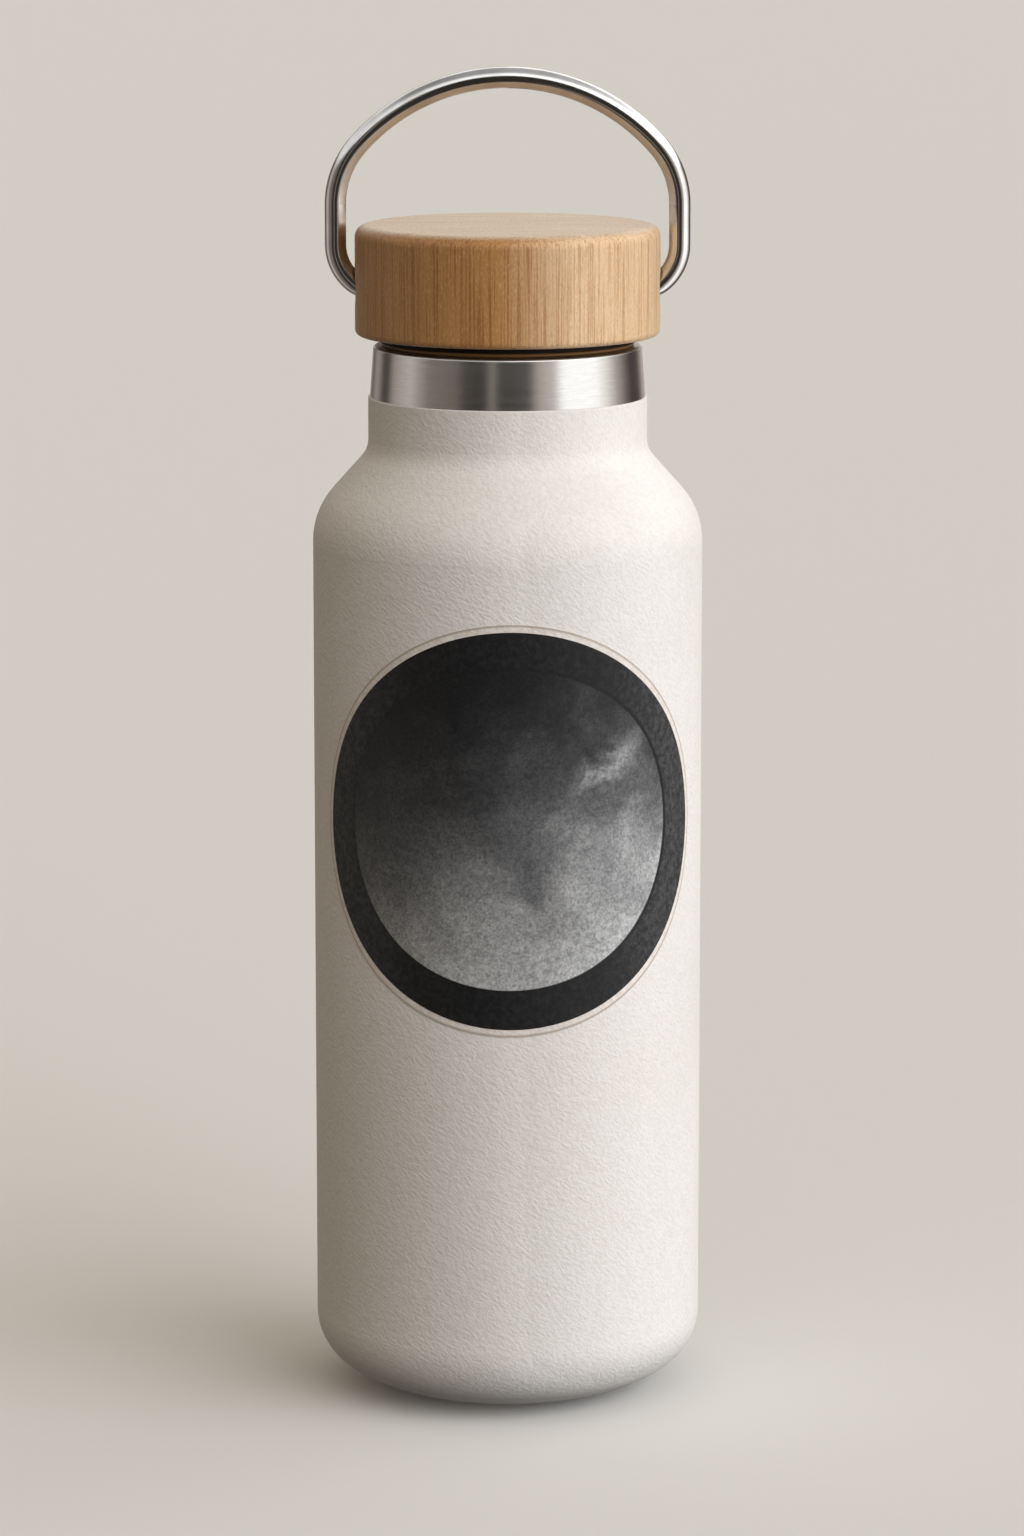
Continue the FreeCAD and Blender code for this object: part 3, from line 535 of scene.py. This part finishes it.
def satin_steel(name, tint, rough):
    """Rolled sheet with a fine even grain."""
    shader = Shader(name)
    grain = shader.noise(2400, 2.0, 0.6)
    cloud = shader.noise(60, 3.0, 0.5)
    tone = shader.mix(shader.band(cloud, 0.35, 0.7), tint, darker(tint, 0.88))
    shader.set(Base_Color=tone, Metallic=1.0,
               Roughness=shader.band(grain, 0.3, 0.7, rough - 0.05, rough + 0.07),
               Normal=shader.bump(grain, 0.004 * MM, 0.4))
    return shader.material


def moulded(name, light, dark, rough, grain_scale, grain_depth, specular=0.45):
    """Moulded or foamed plastic and rubber with a fine even grain."""
    shader = Shader(name)
    grain = shader.noise(grain_scale, 3.0, 0.55)
    cloud = shader.noise(60, 3.0, 0.5)
    tone = shader.mix(shader.band(cloud, 0.3, 0.7), light, dark)
    shader.set(Base_Color=tone, Specular_IOR_Level=specular,
               Roughness=shader.band(grain, 0.3, 0.7, rough - 0.05, rough + 0.05),
               Normal=shader.bump(grain, grain_depth * MM, 0.5))
    return shader.material


def sintered(name, light, dark):
    """Pressed metal powder, dull and slightly crumbly."""
    shader = Shader(name)
    grain = shader.cells(2600, 0.3)
    tone = shader.mix(shader.band(grain, 0.2, 0.7), light, dark)
    shader.set(Base_Color=tone, Metallic=0.6, Roughness=0.68,
               Normal=shader.bump(grain, 0.05 * MM, 0.6))
    return shader.material


def seal_glass():
    """Grey-green sealing glass that has melted into a smooth bead."""
    shader = Shader("sealing_glass")
    cloud = shader.noise(300, 3.0, 0.5)
    tone = shader.mix(shader.band(cloud, 0.3, 0.7), (84, 92, 84), (60, 68, 62))
    shader.set(Base_Color=tone, Roughness=0.14, Specular_IOR_Level=0.55,
               Normal=shader.bump(cloud, 0.02 * MM, 0.3))
    return shader.material


wear(powder_coat(), "textured_coating")
wear(label_film(), "label_vinyl")
wear(label_ink(), "label_print")
wear(bamboo(), "bamboo_cap")
wear(brushed_steel("turned_base_steel", (204, 202, 199), 0.34, 0.5, 0.0008), "outer_base", "base_cover")
wear(brushed_steel("polished_liner_steel", (209, 207, 204), 0.24, 0.45, 0.004),
     "inner_vessel", "inner_bottom", "plug_bottom_disc")
wear(polished_rod(), "bail_handle")
wear(satin_steel("copper_shield", (205, 132, 98), 0.3), "heat_shield_foil")
wear(satin_steel("clip_steel", (170, 168, 165), 0.4), "getter_clip")
wear(satin_steel("screw_steel", (190, 189, 187), 0.3), "lid_screws")
wear(sintered("getter_powder", (92, 90, 88), (60, 58, 57)), "getter_pellet")
wear(seal_glass(), "vacuum_seal_bead")
# The plug is black plastic; its slight brown cast is painted warm bounce light from the bamboo above it
wear(moulded("black_lid_plastic", (30, 24, 19), (23, 18, 14), 0.6, 900, 0.01, 0.12), "lid_plug")
wear(moulded("white_foam", (226, 224, 218), (212, 209, 202), 0.85, 1500, 0.12, 0.2),
     "plug_insulation")
wear(moulded("natural_nylon", (214, 208, 192), (204, 197, 180), 0.4, 800, 0.01),
     "pivot_bush_left", "pivot_bush_right")
amber = moulded("amber_silicone", (122, 88, 52), (108, 76, 44), 0.4, 1200, 0.01, 0.35)
wear(amber, "disc_seal")
drawn_shell(brushed_steel("brushed_collar_steel", (214, 213, 211), 0.22, 0.75, 0.0008))
rubber_ring(amber)


# --------------------------------------------------------------- floor and light

def floor():
    """A pale plane that the canteen stands on. It throws no light or reflection back at it."""
    half = 20.0
    mesh = bpy.data.meshes.new("floor")
    mesh.from_pydata([(-half, -half, 0), (half, -half, 0), (half, half, 0), (-half, half, 0)],
                     [], [(0, 1, 2, 3)])
    plane = bpy.data.objects.new("floor", mesh)
    bpy.context.scene.collection.objects.link(plane)
    plane.visible_diffuse = False
    plane.visible_glossy = False
    shader = Shader("pale_floor")
    shader.set(Base_Color=shade((236, 235, 233)), Roughness=0.9, Specular_IOR_Level=0.1)
    mesh.materials.append(shader.material)


def sun(name, azimuth, elevation, spread, strength, colour):
    """A soft light far away that the metal doesn't mirror. Azimuth 0 is in front and 90 at the
    right, and spread is its width in degrees."""
    a, e = math.radians(azimuth), math.radians(elevation)
    away = Vector((math.sin(a) * math.cos(e), -math.cos(a) * math.cos(e), math.sin(e)))
    lamp = bpy.data.lights.new(name, "SUN")
    lamp.angle = math.radians(spread)
    lamp.energy = strength
    lamp.color = colour
    placed = bpy.data.objects.new(name, lamp)
    placed.location = away
    placed.rotation_mode = "QUATERNION"
    placed.rotation_quaternion = away.to_track_quat("Z", "Y")
    placed.visible_glossy = False
    bpy.context.scene.collection.objects.link(placed)


def surroundings():
    """The room: plain and pale to the eye, warm light from above, and for the metal to mirror
    a ring of bright windows and dark walls by compass angle under a light ceiling."""
    world = bpy.data.worlds.new("soft_room")
    bpy.context.scene.world = world
    world.use_nodes = True
    room = Nodes(world.node_tree, "Generated")
    x, y, z = room.xyz()
    azimuth = room.math("ARCTAN2", x, room.times(y, -1.0))
    place = room.math("MULTIPLY_ADD", azimuth, 1 / math.tau, 0.5)
    ring = room.ramp(place, *[((degrees + 180) / 360, tone) for degrees, tone in WALLS])
    ring = room.mix(ring, room.mix(1.0, ring, (255, 238, 222), blend="MULTIPLY"), ring)
    # Over the walls a bright band, then a dimmer ceiling, both lighter to the right
    above = room.band(x, -0.6, 0.7, 0.20, 0.50)
    mirrored = room.mix(room.band(z, 0.28, 0.42), ring, room.times_colour(above, 3.2))
    mirrored = room.mix(room.band(z, 0.60, 0.90), mirrored, above)
    # What lights the rest: next to nothing from below, most from just over the horizon
    given = room.ramp(room.math("MULTIPLY_ADD", z, 0.5, 0.5), (0.42, 0.01), (0.58, 1.0), (0.9, 0.60))
    given = room.mix(1.0, given, (246, 233, 211), blend="MULTIPLY")
    path = room.node("ShaderNodeLightPath").outputs
    light = room.mix(path["Is Glossy Ray"], room.times_colour(given, AMBIENT),
                     room.times_colour(mirrored, MIRRORED))
    background = world.node_tree.nodes["Background"]
    room.feed(background.inputs["Color"], room.mix(path["Is Camera Ray"], light, BACKDROP))
    background.inputs["Strength"].default_value = 1.0


def camera():
    """A long lens a little above the bottle's middle, tilted down."""
    tilt = 0.1764
    lens = bpy.data.cameras.new("camera")
    lens.lens = 138.65
    lens.sensor_width = 36.0
    lens.dof.use_dof = False
    eye = bpy.data.objects.new("camera", lens)
    eye.location = (0.00081, -1.100, 0.31477)
    eye.rotation_euler = (math.pi / 2 - tilt, 0, 0)
    bpy.context.scene.collection.objects.link(eye)
    bpy.context.scene.camera = eye


floor()
surroundings()
sun("key", 55, 8, 80, 3.74, (0.952, 0.978, 1.028))
sun("ceiling", 20, 60, 60, 0.12, (0.97, 0.98, 1.0))
sun("rim", 118, 10, 60, 0.8, (0.97, 0.985, 1.0))
camera()
bpy.context.scene.view_settings.view_transform = "Standard"
bpy.context.scene.view_settings.look = "None"
